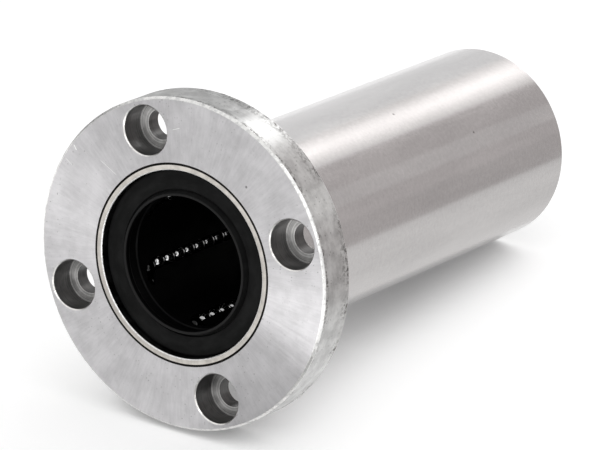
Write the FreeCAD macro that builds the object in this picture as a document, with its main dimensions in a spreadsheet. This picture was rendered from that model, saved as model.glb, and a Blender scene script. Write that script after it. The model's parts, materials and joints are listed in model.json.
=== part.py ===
import FreeCAD, Part
import math
import os
import Sketcher
from FreeCAD import Placement, Rotation, Vector

# Long linear ball bushing with a round mounting flange, for a 30 mm shaft.
# The bore runs along Y. The origin is on the bore's axis, in the flange's mounting face.
# The flange's front face looks along -Y and the sleeve runs from the flange along +Y.

# Driving dimensions, in millimetres and degrees
SIZES = [
    ("shaft_diameter", 30.0, "shaft that the balls and the seal lips run on"),
    ("bearing_length", 123.0, "sleeve, end to end"),
    ("sleeve_diameter", 45.0, "ground outside of the sleeve"),
    ("spigot_diameter", 44.8, "end of the sleeve that carries the flange"),
    ("sleeve_edge", 0.4, "chamfer at the sleeve's tail"),
    ("spigot_edge", 0.25, "chamfer at the sleeve's front end"),
    ("undercut_diameter", 44.0, "grinding relief at the shoulder behind the spigot"),
    ("undercut_width", 1.2, "that relief, along the bore"),
    ("seat_diameter", 41.8, "seat of a seal in the sleeve's end"),
    ("seat_depth", 5.2, "from the sleeve's end to the seat's shoulder"),
    ("seat_edge", 0.2, "chamfer at the mouth of a seal's seat"),
    ("relief_diameter", 40.4, "sleeve's bore between the raceway lands"),
    ("land_width", 4.6, "raceway land, across"),
    ("flange_diameter", 74.0, "outside of the flange"),
    ("flange_thickness", 10.0, "flange, front face to mounting face"),
    ("flange_front_edge", 0.5, "chamfer of the rim's front edge"),
    ("flange_back_edge", 0.65, "chamfer of the rim's back edge"),
    ("flange_bore_edge", 0.15, "chamfer of the flange's bore at the front"),
    ("flange_bore_lead", 0.4, "chamfer of the flange's bore at the mounting face"),
    ("bolt_circle", 60.0, "circle of the bolt holes"),
    ("bolt_count", 4, "bolt holes"),
    ("bolt_hole_diameter", 6.6, "clearance hole of an M6 screw"),
    ("counterbore_diameter", 11.0, "room for the head of an M6 cap screw"),
    ("counterbore_depth", 6.1, "counterbore, from the front face"),
    ("counterbore_edge", 0.3, "chamfer at a counterbore's mouth"),
    ("bolt_hole_edge", 0.45, "chamfer of a bolt hole at the mounting face"),
    ("hole_phase", 22.5, "angle of the first bolt hole, from +X towards +Z"),
    ("circuit_count", 6, "ball circuits in each retainer"),
    ("ball_diameter", 3.572, "bearing ball, 9/64 inch"),
    ("ball_pitch", 3.85, "ball to ball, along the track"),
    ("balls_in_row", 11, "balls in a straight row"),
    ("balls_in_turn", 3, "balls in the half turn between two rows"),
    ("race_clearance", 0.05, "loaded ball to raceway land"),
    ("track_clearance", 0.13, "ball to the wall of its track"),
    ("track_end_wall", 0.9, "retainer's wall outside the outer turn"),
    ("retainer_bore", 30.9, "inside of a retainer"),
    ("retainer_diameter", 40.1, "outside of a retainer"),
    ("retainer_edge", 0.4, "chamfer of a retainer's edges"),
    ("retainer_gap", 0.1, "free space at each end of a retainer"),
    ("land_groove_width", 5.2, "groove in the retainer that takes a raceway land"),
    ("land_groove_floor", 18.3, "floor of that groove, from the axis"),
    ("seal_face_depth", 1.85, "seal's flat face, below the sleeve's end"),
    ("seal_face_round", 0.6, "rounded outer edge of the seal's face"),
    ("seal_face_inner_diameter", 32.9, "inner edge of the seal's flat face"),
    ("seal_groove_depth", 2.35, "groove beside the lip, below the sleeve's end"),
    ("seal_groove_outer_diameter", 32.4, "outer edge of that groove's floor"),
    ("seal_groove_inner_diameter", 32.0, "inner edge of that groove's floor"),
    ("lip_crest_depth", 0.7, "lip's crest, below the sleeve's end"),
    ("lip_crest_outer_diameter", 31.24, "outer edge of the lip's crest"),
    ("lip_crest_inner_diameter", 30.24, "inner edge of the lip's crest"),
    ("lip_crest_round", 0.2, "rounding of the lip's crest"),
    ("lip_start", 1.3, "start of the wiping edge, below the sleeve's end"),
    ("lip_stop", 1.9, "end of the wiping edge, below the sleeve's end"),
    ("lip_back_depth", 2.6, "relief behind the lip, below the sleeve's end"),
    ("lip_back_diameter", 30.7, "inside of the seal just behind the lip"),
    ("seal_back_diameter", 31.2, "inside of the seal at its back"),
]

# Sizes that follow from the driving ones
BALL_RADIUS = "(Sizes.ball_diameter / 2)"
ROW_RADIUS = "(Sizes.shaft_diameter / 2 + Sizes.ball_diameter / 2)"
RACE_RADIUS = "(Sizes.shaft_diameter / 2 + Sizes.ball_diameter + Sizes.race_clearance)"
TRACK_HALF_WIDTH = "(Sizes.ball_diameter / 2 + Sizes.track_clearance)"
TURN_RADIUS = "(Sizes.balls_in_turn * Sizes.ball_pitch / pi)"
ROW_LENGTH = "(Sizes.balls_in_row * Sizes.ball_pitch)"
TURN_STEP = "(180 / Sizes.balls_in_turn)"
RETAINER_LENGTH = "(Sizes.bearing_length / 2 - Sizes.seat_depth - 1.5 * Sizes.retainer_gap)"
RETAINER_START = "(Sizes.seat_depth + Sizes.retainer_gap)"
ROW_START = f"(Sizes.track_end_wall + {TRACK_HALF_WIDTH} + {TURN_RADIUS})"
ROW_STOP = f"({ROW_START} + {ROW_LENGTH})"
OUTSIDE = "(Sizes.sleeve_diameter / 2)"
LAND_ROOT = "(Sizes.relief_diameter / 4 + Sizes.sleeve_diameter / 4)"

ALONG_BORE = Vector(0, 1, 0)
FULL_TURN = 360
LEAST_CHANGE = 1.0  # cubic millimetres that a cut or a land changes at the least
EDGE_TOLERANCE = 1e-4  # millimetres, when an edge is looked up by its size

# A sketch's own axes, and the points of its curves
FLAT_AXIS = -1
UPRIGHT_AXIS = -2
SKETCH_ORIGIN = (-1, 1)
START = 1
END = 2
CENTRE = 3
SKETCH_NORMAL = Vector(0, 0, 1)

doc = FreeCAD.newDocument("FlangedLinearBearing")


def make_sheet():
    """The sheet that holds the driving dimensions, one to a row."""
    sheet = doc.addObject("Spreadsheet::Sheet", "Sizes")
    for row, (alias, size, note) in enumerate(SIZES, start=1):
        sheet.set(f"A{row}", alias)
        sheet.set(f"B{row}", str(size))
        sheet.set(f"C{row}", note)
        sheet.setAlias(f"B{row}", alias)
    doc.recompute()
    return sheet


sizes = make_sheet()


def size_of(expression):
    """The number that an expression of the sheet's dimensions gives."""
    return float(sizes.evalExpression(expression))


def radius(alias):
    """Half of a diameter on the sheet."""
    return f"(Sizes.{alias} / 2)"


def new_body(label):
    """An empty sub-part; its label names its file."""
    body = doc.addObject("PartDesign::Body", label)
    body.Label = label
    return body


def origin_part(body, role):
    """A plane or an axis of a body's own origin."""
    return next(item for item in body.Origin.OriginFeatures if item.Role == role)


def new_sketch(body, name, plane, height="0"):
    """A sketch on one of the body's origin planes, raised along the plane's normal."""
    sketch = body.newObject("Sketcher::SketchObject", name)
    sketch.AttachmentSupport = (origin_part(body, plane), [""])
    sketch.MapMode = "FlatFace"
    if height != "0":
        sketch.setExpression("AttachmentOffset.Base.z", height)
    doc.recompute()
    return sketch


def place_point(sketch, curve, end, across, along):
    """Hold one end of a curve at two expressions, measured from the sketch's origin."""
    for kind, axis, expression in (("DistanceX", UPRIGHT_AXIS, across), ("DistanceY", FLAT_AXIS, along)):
        if expression == "0":
            sketch.addConstraint(Sketcher.Constraint("PointOnObject", curve, end, axis))
            continue
        held = sketch.addConstraint(
            Sketcher.Constraint(kind, *SKETCH_ORIGIN, curve, end, size_of(expression)))
        sketch.setExpression(f"Constraints[{held}]", expression)


def draw_outline(sketch, points):
    """A closed outline of straight lines through points given as pairs of expressions."""
    corners = [Vector(size_of(across), size_of(along), 0) for across, along in points]
    count = len(corners)
    for index in range(count):
        sketch.addGeometry(Part.LineSegment(corners[index], corners[(index + 1) % count]))
    for index in range(count):
        sketch.addConstraint(Sketcher.Constraint("Coincident", index, END, (index + 1) % count, START))
    for index, (across, along) in enumerate(points):
        place_point(sketch, index, START, across, along)


def turn_outline(body, points):
    """A turned solid: an outline of (radius, distance along the bore) turned about the bore."""
    sketch = new_sketch(body, "Section", "XY_Plane")
    draw_outline(sketch, points)
    turned = body.newObject("PartDesign::Revolution", "Turned")
    turned.Profile = sketch
    turned.ReferenceAxis = (sketch, ["V_Axis"])
    turned.Angle = FULL_TURN
    doc.recompute()
    return turned


def repeat_round(body, features, count):
    """Repeat features evenly round the bore."""
    ring = body.newObject("PartDesign::PolarPattern", "Ring")
    ring.Originals = features
    ring.Axis = (origin_part(body, "Y_Axis"), [""])
    ring.Angle = FULL_TURN
    ring.setExpression("Occurrences", count)
    body.Tip = ring
    doc.recompute()
    return ring


def circle_edges(feature, edge_radius, distance):
    """Names of a feature's round edges of one radius at one distance along the bore."""
    names = []
    for index, edge in enumerate(feature.Shape.Edges, start=1):
        curve = edge.Curve
        if not isinstance(curve, Part.Circle):
            continue
        if math.isclose(curve.Radius, edge_radius, abs_tol=EDGE_TOLERANCE):
            if math.isclose(edge.BoundBox.Center.y, distance, abs_tol=EDGE_TOLERANCE):
                names.append(f"Edge{index}")
    return names


def dress_edges(body, kind, base, edges, size_name, expression):
    """Chamfer or round the named edges of the body's last feature."""
    dressed = body.newObject(f"PartDesign::{kind}", kind)
    dressed.Base = (base, edges)
    dressed.setExpression(size_name, expression)
    body.Tip = dressed
    doc.recompute()
    return dressed


def require_cut(before, after):
    """Stop if a cutting feature took nothing away."""
    if after.Shape.Volume > before.Shape.Volume - LEAST_CHANGE:
        raise RuntimeError(f"{after.Name} of {before.Name} cut nothing")


# Flange: a turned ring with counterbored bolt holes
def make_flange():
    body = new_body("flange")
    bore = radius("spigot_diameter")
    rim = radius("flange_diameter")
    back = "Sizes.flange_thickness"
    ring = turn_outline(body, [
        (f"{bore} + Sizes.flange_bore_edge", "0"),
        (f"{rim} - Sizes.flange_front_edge", "0"),
        (rim, "Sizes.flange_front_edge"),
        (rim, f"{back} - Sizes.flange_back_edge"),
        (f"{rim} - Sizes.flange_back_edge", back),
        (f"{bore} + Sizes.flange_bore_lead", back),
        (bore, f"{back} - Sizes.flange_bore_lead"),
        (bore, "Sizes.flange_bore_edge"),
    ])
    centre = new_sketch(body, "HoleCentre", "XZ_Plane")
    mouth = size_of(radius("bolt_hole_diameter"))
    centre.addGeometry(Part.Circle(Vector(size_of(radius("bolt_circle")), 0, 0), SKETCH_NORMAL, mouth))
    place_point(centre, 0, CENTRE, radius("bolt_circle"), "0")
    centre.addConstraint(Sketcher.Constraint("Radius", 0, mouth))
    doc.recompute()
    hole = body.newObject("PartDesign::Hole", "BoltHole")
    hole.Profile = centre
    hole.ThreadType = "None"
    hole.DepthType = "ThroughAll"
    hole.HoleCutType = "Counterbore"
    hole.HoleCutCustomValues = True
    hole.DrillPoint = "Flat"
    hole.setExpression("Diameter", "Sizes.bolt_hole_diameter")
    hole.setExpression("HoleCutDiameter", "Sizes.counterbore_diameter")
    hole.setExpression("HoleCutDepth", "Sizes.counterbore_depth")
    doc.recompute()
    require_cut(ring, hole)
    holes = repeat_round(body, [hole], "Sizes.bolt_count")
    mouths = circle_edges(holes, size_of(radius("counterbore_diameter")), 0)
    opened = dress_edges(body, "Chamfer", holes, mouths, "Size", "Sizes.counterbore_edge")
    ends = circle_edges(opened, size_of(radius("bolt_hole_diameter")), size_of(back))
    drilled = dress_edges(body, "Chamfer", opened, ends, "Size", "Sizes.bolt_hole_edge")
    require_cut(opened, drilled)
    return body


# Outer sleeve: a ground cylinder with raceway lands in its bore
def add_land(body, name, start):
    """A raceway land that runs along the loaded rows of one retainer."""
    half = "Sizes.land_width / 2"
    sketch = new_sketch(body, f"{name}Section", "XZ_Plane", f"-({start})")
    race = size_of(RACE_RADIUS)
    side = size_of(half)
    root = size_of(LAND_ROOT)
    lean = math.asin(side / race)
    inner = race * math.cos(lean)
    bottom = Vector(inner, -side, 0)
    top = Vector(inner, side, 0)
    whole = Part.Circle(Vector(0, 0, 0), SKETCH_NORMAL, race)
    sketch.addGeometry(Part.ArcOfCircle(whole, -lean, lean))
    sketch.addGeometry(Part.LineSegment(top, Vector(root, side, 0)))
    sketch.addGeometry(Part.LineSegment(Vector(root, side, 0), Vector(root, -side, 0)))
    sketch.addGeometry(Part.LineSegment(Vector(root, -side, 0), bottom))
    arc, upper_side, back, lower_side = range(4)
    sketch.addConstraint(Sketcher.Constraint("Coincident", arc, CENTRE, *SKETCH_ORIGIN))
    for first, second in ((arc, upper_side), (upper_side, back), (back, lower_side), (lower_side, arc)):
        sketch.addConstraint(Sketcher.Constraint("Coincident", first, END, second, START))
    sketch.addConstraint(Sketcher.Constraint("Horizontal", upper_side))
    sketch.addConstraint(Sketcher.Constraint("Horizontal", lower_side))
    held = sketch.addConstraint(Sketcher.Constraint("Radius", arc, race))
    sketch.setExpression(f"Constraints[{held}]", RACE_RADIUS)
    place_point(sketch, back, START, LAND_ROOT, half)
    place_point(sketch, back, END, LAND_ROOT, f"-{half}")
    land = body.newObject("PartDesign::Pad", name)
    land.Profile = sketch
    land.Reversed = True
    land.setExpression("Length", ROW_LENGTH)
    doc.recompute()
    return land


def make_sleeve():
    body = new_body("outer_sleeve")
    tail = "Sizes.bearing_length"
    seat = radius("seat_diameter")
    relief = radius("relief_diameter")
    spigot = radius("spigot_diameter")
    undercut = radius("undercut_diameter")
    tube = turn_outline(body, [
        (f"{seat} + Sizes.seat_edge", "0"),
        (f"{spigot} - Sizes.spigot_edge", "0"),
        (spigot, "Sizes.spigot_edge"),
        (spigot, "Sizes.flange_thickness - Sizes.undercut_width"),
        (undercut, "Sizes.flange_thickness - Sizes.undercut_width"),
        (undercut, "Sizes.flange_thickness"),
        (OUTSIDE, "Sizes.flange_thickness"),
        (OUTSIDE, f"{tail} - Sizes.sleeve_edge"),
        (f"{OUTSIDE} - Sizes.sleeve_edge", tail),
        (f"{seat} + Sizes.seat_edge", tail),
        (seat, f"{tail} - Sizes.seat_edge"),
        (seat, f"{tail} - Sizes.seat_depth"),
        (relief, f"{tail} - Sizes.seat_depth"),
        (relief, "Sizes.seat_depth"),
        (seat, "Sizes.seat_depth"),
        (seat, "Sizes.seat_edge"),
    ])
    front_land = add_land(body, "FrontLand", f"{RETAINER_START} + {ROW_START}")
    rear_land = add_land(body, "RearLand", f"{tail} - {RETAINER_START} - {ROW_STOP}")
    lands = repeat_round(body, [front_land, rear_land], "Sizes.circuit_count")
    if lands.Shape.Volume < tube.Shape.Volume + LEAST_CHANGE:
        raise RuntimeError("the raceway lands added nothing")
    return body


# Retainers: moulded tubes with an endless track for each ball circuit
def cut_land_groove(body, before):
    """A lengthwise groove that slides over a raceway land."""
    half = "Sizes.land_groove_width / 2"
    floor = "Sizes.land_groove_floor"
    sketch = new_sketch(body, "GrooveSection", "XZ_Plane")
    draw_outline(sketch, [
        (floor, f"-{half}"),
        (OUTSIDE, f"-{half}"),
        (OUTSIDE, half),
        (floor, half),
    ])
    groove = body.newObject("PartDesign::Pocket", "LandGroove")
    groove.Profile = sketch
    groove.setExpression("Length", RETAINER_LENGTH)
    doc.recompute()
    require_cut(before, groove)
    return groove


def draw_track_path(sketch):
    """The closed line that the ball centres follow: two rows joined by two half turns."""
    start = size_of(ROW_START)
    stop = size_of(ROW_STOP)
    bend = size_of(TURN_RADIUS)
    quarter = math.pi / 2
    inner_turn = Part.Circle(Vector(stop, bend, 0), SKETCH_NORMAL, bend)
    outer_turn = Part.Circle(Vector(start, bend, 0), SKETCH_NORMAL, bend)
    sketch.addGeometry(Part.LineSegment(Vector(start, 0, 0), Vector(stop, 0, 0)))
    sketch.addGeometry(Part.ArcOfCircle(inner_turn, -quarter, quarter))
    sketch.addGeometry(Part.LineSegment(Vector(stop, 2 * bend, 0), Vector(start, 2 * bend, 0)))
    sketch.addGeometry(Part.ArcOfCircle(outer_turn, quarter, 3 * quarter))
    loaded, inner, returning, outer = range(4)
    for first, second in ((loaded, inner), (inner, returning), (returning, outer), (outer, loaded)):
        sketch.addConstraint(Sketcher.Constraint("Tangent", first, END, second, START))
    place_point(sketch, loaded, START, ROW_START, "0")
    place_point(sketch, loaded, END, ROW_STOP, "0")
    held = sketch.addConstraint(Sketcher.Constraint("Radius", inner, bend))
    sketch.setExpression(f"Constraints[{held}]", TURN_RADIUS)


def draw_track_section(sketch):
    """A round-bottomed channel, open outwards, as wide as a ball and its clearance."""
    centre = size_of(ROW_RADIUS)
    half = size_of(TRACK_HALF_WIDTH)
    outside = size_of(OUTSIDE)
    quarter = math.pi / 2
    channel = Part.Circle(Vector(centre, 0, 0), SKETCH_NORMAL, half)
    sketch.addGeometry(Part.ArcOfCircle(channel, quarter, 3 * quarter))
    sketch.addGeometry(Part.LineSegment(Vector(centre, -half, 0), Vector(outside, -half, 0)))
    sketch.addGeometry(Part.LineSegment(Vector(outside, -half, 0), Vector(outside, half, 0)))
    sketch.addGeometry(Part.LineSegment(Vector(outside, half, 0), Vector(centre, half, 0)))
    bottom, lower_side, mouth, upper_side = range(4)
    for first, second in ((bottom, lower_side), (upper_side, bottom)):
        sketch.addConstraint(Sketcher.Constraint("Tangent", first, END, second, START))
    for first, second in ((lower_side, mouth), (mouth, upper_side)):
        sketch.addConstraint(Sketcher.Constraint("Coincident", first, END, second, START))
    sketch.addConstraint(Sketcher.Constraint("Vertical", mouth))
    place_point(sketch, bottom, CENTRE, ROW_RADIUS, "0")
    place_point(sketch, mouth, START, OUTSIDE, f"-{TRACK_HALF_WIDTH}")


def cut_ball_track(body, before):
    """One endless ball track; the loaded row also opens into the bore."""
    path = new_sketch(body, "TrackPath", "YZ_Plane", ROW_RADIUS)
    draw_track_path(path)
    section = new_sketch(body, "TrackSection", "XZ_Plane", f"-{ROW_START}")
    draw_track_section(section)
    doc.recompute()
    track = body.newObject("PartDesign::SubtractivePipe", "BallTrack")
    track.Profile = section
    track.Spine = (path, [])
    track.Mode = "Binormal"
    track.Binormal = Vector(1, 0, 0)
    doc.recompute()
    require_cut(before, track)
    return track


def make_retainer(label):
    body = new_body(label)
    inside = radius("retainer_bore")
    outside = radius("retainer_diameter")
    edge = "Sizes.retainer_edge"
    tube = turn_outline(body, [
        (f"{inside} + {edge}", "0"),
        (f"{outside} - {edge}", "0"),
        (outside, edge),
        (outside, f"{RETAINER_LENGTH} - {edge}"),
        (f"{outside} - {edge}", RETAINER_LENGTH),
        (f"{inside} + {edge}", RETAINER_LENGTH),
        (inside, f"{RETAINER_LENGTH} - {edge}"),
        (inside, edge),
    ])
    groove = cut_land_groove(body, tube)
    track = cut_ball_track(body, groove)
    repeat_round(body, [groove, track], "Sizes.circuit_count")
    return body


# Seals: rubber rings with a raised wiping lip
def make_seal(label):
    body = new_body(label)
    outside = radius("seat_diameter")
    lip = radius("shaft_diameter")
    crest_outer = radius("lip_crest_outer_diameter")
    crest_inner = radius("lip_crest_inner_diameter")
    ring = turn_outline(body, [
        (outside, "Sizes.seat_depth"),
        (outside, "Sizes.seal_face_depth"),
        (radius("seal_face_inner_diameter"), "Sizes.seal_face_depth"),
        (radius("seal_groove_outer_diameter"), "Sizes.seal_groove_depth"),
        (radius("seal_groove_inner_diameter"), "Sizes.seal_groove_depth"),
        (crest_outer, "Sizes.lip_crest_depth"),
        (crest_inner, "Sizes.lip_crest_depth"),
        (lip, "Sizes.lip_start"),
        (lip, "Sizes.lip_stop"),
        (radius("lip_back_diameter"), "Sizes.lip_back_depth"),
        (radius("seal_back_diameter"), "Sizes.seat_depth"),
    ])
    rim = circle_edges(ring, size_of(outside), size_of("Sizes.seal_face_depth"))
    rounded = dress_edges(body, "Fillet", ring, rim, "Radius", "Sizes.seal_face_round")
    crest = []
    for edge_radius in (crest_outer, crest_inner):
        crest += circle_edges(rounded, size_of(edge_radius), size_of("Sizes.lip_crest_depth"))
    dress_edges(body, "Fillet", rounded, crest, "Radius", "Sizes.lip_crest_round")
    return body


# Balls: each group is a row or a half turn of separate balls
def add_ball(body, offset="0"):
    """The first ball of a group, on the body's own X axis."""
    ball = body.newObject("PartDesign::AdditiveSphere", "Ball")
    ball.AttachmentSupport = (origin_part(body, "XY_Plane"), [""])
    ball.MapMode = "FlatFace"
    ball.setExpression("Radius", BALL_RADIUS)
    if offset != "0":
        ball.setExpression("AttachmentOffset.Base.x", offset)
    return ball


def make_row(label):
    """A straight row of balls along the body's Y axis."""
    body = new_body(label)
    row = body.newObject("PartDesign::LinearPattern", "Row")
    row.Originals = [add_ball(body)]
    row.Direction = (origin_part(body, "Y_Axis"), [""])
    row.setExpression("Length", "(Sizes.balls_in_row - 1) * Sizes.ball_pitch")
    row.setExpression("Occurrences", "Sizes.balls_in_row")
    body.Tip = row
    return body


def make_turn(label):
    """A half turn of balls about the body's Z axis."""
    body = new_body(label)
    turn = body.newObject("PartDesign::PolarPattern", "Turn")
    turn.Originals = [add_ball(body, TURN_RADIUS)]
    turn.Axis = (origin_part(body, "Z_Axis"), [""])
    turn.setExpression("Angle", f"180 - {TURN_STEP}")
    turn.setExpression("Occurrences", "Sizes.balls_in_turn")
    body.Tip = turn
    return body


def about_bore(angle):
    """A turn about the bore's axis that takes +X towards +Z."""
    return Rotation(ALONG_BORE, -angle)


def circuit_place(retainer_place, index):
    """Frame of one circuit: X is outwards through the loaded row, Z points to the return row."""
    angle = index * FULL_TURN / size_of("Sizes.circuit_count")
    return retainer_place * Placement(Vector(0, 0, 0), about_bore(angle))


def make_circuit(side, index, retainer_place):
    """The four ball groups of one circuit."""
    place = circuit_place(retainer_place, index)
    label = f"{side}_circuit_{index + 1}"
    out = size_of(ROW_RADIUS)
    bend = size_of(TURN_RADIUS)
    first_ball = size_of(f"{ROW_START} + Sizes.ball_pitch / 2")
    half_step = Rotation(Vector(0, 0, 1), size_of(f"{TURN_STEP} / 2"))
    loaded = make_row(f"{label}_loaded_balls")
    loaded.Placement = place * Placement(Vector(out, first_ball, 0), Rotation())
    returning = make_row(f"{label}_return_balls")
    returning.Placement = place * Placement(Vector(out, first_ball, 2 * bend), Rotation())
    from_loaded = Vector(0, 0, -1)
    turns = (
        ("outer", ROW_START, Vector(0, -1, 0), Vector(-1, 0, 0)),
        ("inner", ROW_STOP, Vector(0, 1, 0), Vector(1, 0, 0)),
    )
    groups = [loaded, returning]
    for end, distance, away, pivot in turns:
        group = make_turn(f"{label}_{end}_turn_balls")
        facing = Rotation(from_loaded, away, pivot, "XYZ") * half_step
        group.Placement = place * Placement(Vector(out, size_of(distance), bend), facing)
        groups.append(group)
    return groups


def end_places():
    """Frames at the sleeve's two ends: each has its Y axis pointing into the sleeve."""
    front = size_of("-Sizes.flange_thickness")
    tail = size_of("Sizes.bearing_length - Sizes.flange_thickness")
    phase = about_bore(size_of("Sizes.hole_phase"))
    end_for_end = Rotation(Vector(1, 0, 0), 180)
    return {
        "front": Placement(Vector(0, front, 0), phase),
        "rear": Placement(Vector(0, tail, 0), phase * end_for_end),
    }


def make_parts():
    places = end_places()
    flange = make_flange()
    sleeve = make_sleeve()
    parts = [flange, sleeve]
    for body in parts:
        body.Placement = places["front"]
    into_sleeve = Placement(Vector(0, size_of(RETAINER_START), 0), Rotation())
    cages = {}
    for side, place in places.items():
        seal = make_seal(f"{side}_seal")
        seal.Placement = place
        cages[side] = make_retainer(f"{side}_retainer")
        cages[side].Placement = place * into_sleeve
        parts += [seal, cages[side]]
    for side, retainer in cages.items():
        for index in range(int(size_of("Sizes.circuit_count"))):
            parts += make_circuit(side, index, retainer.Placement)
    doc.recompute()
    return parts


def check_parts(parts):
    """Stop if any feature failed or any sub-part has no sound shape."""
    for item in doc.Objects:
        if "Invalid" in item.State or "Error" in item.State:
            raise RuntimeError(f"{item.Name} failed: {item.State}")
    for part in parts:
        if part.Shape.isNull() or not part.Shape.isValid():
            raise RuntimeError(f"{part.Label} has no sound shape")


def write_parts(parts):
    os.makedirs("parts", exist_ok=True)
    for part in parts:
        part.Shape.exportStep(f"parts/{part.Label}.step")


bearing = make_parts()
check_parts(bearing)
write_parts(bearing)
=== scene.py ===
import json
import math

import bmesh
import bpy
from bpy.props import FloatProperty, FloatVectorProperty, IntProperty, PointerProperty
from mathutils import Matrix, Vector, noise


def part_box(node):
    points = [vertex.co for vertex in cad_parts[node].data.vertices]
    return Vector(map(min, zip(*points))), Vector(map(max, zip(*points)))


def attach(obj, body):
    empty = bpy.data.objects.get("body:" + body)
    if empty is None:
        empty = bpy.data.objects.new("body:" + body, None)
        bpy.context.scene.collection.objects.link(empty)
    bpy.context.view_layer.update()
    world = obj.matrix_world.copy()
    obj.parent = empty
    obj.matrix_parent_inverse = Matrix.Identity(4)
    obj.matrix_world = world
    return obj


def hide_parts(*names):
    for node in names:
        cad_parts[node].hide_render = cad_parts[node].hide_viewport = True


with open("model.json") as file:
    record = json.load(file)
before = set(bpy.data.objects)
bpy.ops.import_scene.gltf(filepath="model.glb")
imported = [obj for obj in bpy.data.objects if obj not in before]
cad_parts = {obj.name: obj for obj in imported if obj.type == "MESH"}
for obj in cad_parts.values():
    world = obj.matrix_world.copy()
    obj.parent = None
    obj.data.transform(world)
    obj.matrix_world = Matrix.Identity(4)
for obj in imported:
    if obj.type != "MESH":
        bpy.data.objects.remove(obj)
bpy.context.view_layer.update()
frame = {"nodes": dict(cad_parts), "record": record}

bl_info = {
    "name": "Flanged linear bearing",
    "version": (1, 0, 0),
    "blender": (4, 5, 0),
    "location": "View3D > Sidebar > Bearing",
    "description": "Finishes the pieces of a flanged linear bearing and sets them on a pale floor",
    "category": "Object",
}

# Sizes in metres, the first bolt hole's angle and the ball nodes. The bore runs along Y, the flange's
# front face looks along -Y, and its back is the mounting face.
MM = 0.001
DIMS = {mount["name"]: mount["dims"] for mount in frame["record"]["mounts"]}
FLANGE_LOW, FLANGE_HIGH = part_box("flange")
RIM = FLANGE_HIGH.x
FRONT = FLANGE_LOW.y
BACK = FLANGE_HIGH.y
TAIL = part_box("outer_sleeve")[1].y
SLEEVE = DIMS["sleeve_outside"]["r_mm"] * MM
SHAFT = DIMS["shaft_bore"]["r_mm"] * MM
BOLT_CIRCLE = DIMS["flange_bolts"]["pcd_mm"] / 2 * MM
BOLT_HOLE = DIMS["flange_bolts"]["hole_r_mm"] * MM
BOLT_COUNT = DIMS["flange_bolts"]["count"]
FIRST_BOLT = math.radians(22.5)
LOADED_ROWS = sorted(name for name in frame["nodes"] if name.endswith("_loaded_balls"))
TURNS = sorted(name for name in frame["nodes"] if name.endswith("_turn_balls"))
ROWS = sorted(name for name in frame["nodes"] if name.endswith("_balls") and name not in TURNS)

# Directions, and the colour of plain light
LEFT = Vector((-1.0, 0.0, 0.0))
AHEAD = Vector((0.0, 1.0, 0.0))
UP = Vector((0.0, 0.0, 1.0))
WHITE = (1.0, 1.0, 1.0)


# Kinds of settings that a user may change
def length(name, millimetres, description):
    """A length, given in millimetres."""
    return FloatProperty(name=name, description=description, default=millimetres * MM, unit="LENGTH")


def colour(name, red, green, blue, description):
    """A colour."""
    return FloatVectorProperty(
        name=name, description=description, default=(red, green, blue), subtype="COLOR", min=0.0, max=1.0)


def share(name, default, description):
    """A value from 0 to 1."""
    return FloatProperty(
        name=name, description=description, default=default, min=0.0, max=1.0, subtype="FACTOR")


def brightness(name, default, description):
    """A strength of light: a white card has 1."""
    return FloatProperty(name=name, description=description, default=default, min=0.0)


def point(name, default, description):
    """A place in metres."""
    return FloatVectorProperty(
        name=name, description=description, default=default, subtype="TRANSLATION", precision=6)


class BearingShape(bpy.types.PropertyGroup):
    """Sizes of the turned steel pieces."""
    segments: IntProperty(name="Segments", description="Steps round the bore", default=720, min=90)
    hole_segments: IntProperty(
        name="Hole segments", description="Steps round a bolt hole", default=120, min=24)
    rounding: length("Edge rounding", 0.06, "Rounding of the steel edges")
    front_edge: length("Front edge", 0.5, "Chamfer of the rim's front edge")
    back_edge: length("Back edge", 0.65, "Chamfer of the rim's back edge")
    spigot: length("Spigot radius", 22.4, "Joint between flange and sleeve")
    joint_edge: length("Joint edge", 0.15, "Chamfer of the flange's bore at the front")
    joint_lead: length("Joint lead", 0.4, "Chamfer of the flange's bore at the mounting face")
    spigot_edge: length("Spigot edge", 0.25, "Chamfer of the sleeve's front end")
    undercut: length("Undercut radius", 22.0, "Grinding relief behind the spigot")
    undercut_width: length("Undercut width", 1.2, "Grinding relief, along the bore")
    tail_edge: length("Tail edge", 0.4, "Chamfer at the sleeve's tail")
    counterbore: length("Counterbore radius", 5.5, "Room for the head of a screw")
    counterbore_depth: length("Counterbore depth", 6.1, "From the front face")
    counterbore_edge: length("Counterbore edge", 0.3, "Chamfer at a counterbore's mouth")
    bolt_hole_edge: length("Bolt hole edge", 0.45, "Chamfer of a bolt hole at the mounting face")
    seat: length("Seat radius", 20.9, "Seat of a seal in the sleeve's end")
    seat_depth: length("Seat depth", 5.2, "From the sleeve's end to the seat's shoulder")
    seat_edge: length("Seat edge", 0.2, "Chamfer at the mouth of a seat")
    relief: length("Relief radius", 20.2, "Sleeve's bore between the raceway lands")
    land_width: length("Land width", 4.6, "Raceway land, across")
    ball: length("Ball diameter", 3.572, "Bearing ball")
    race_clearance: length("Race clearance", 0.05, "Loaded ball to raceway land")
    dent: length("Dent depth", 0.08, "Deepest dent along the flange's edges")


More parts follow.
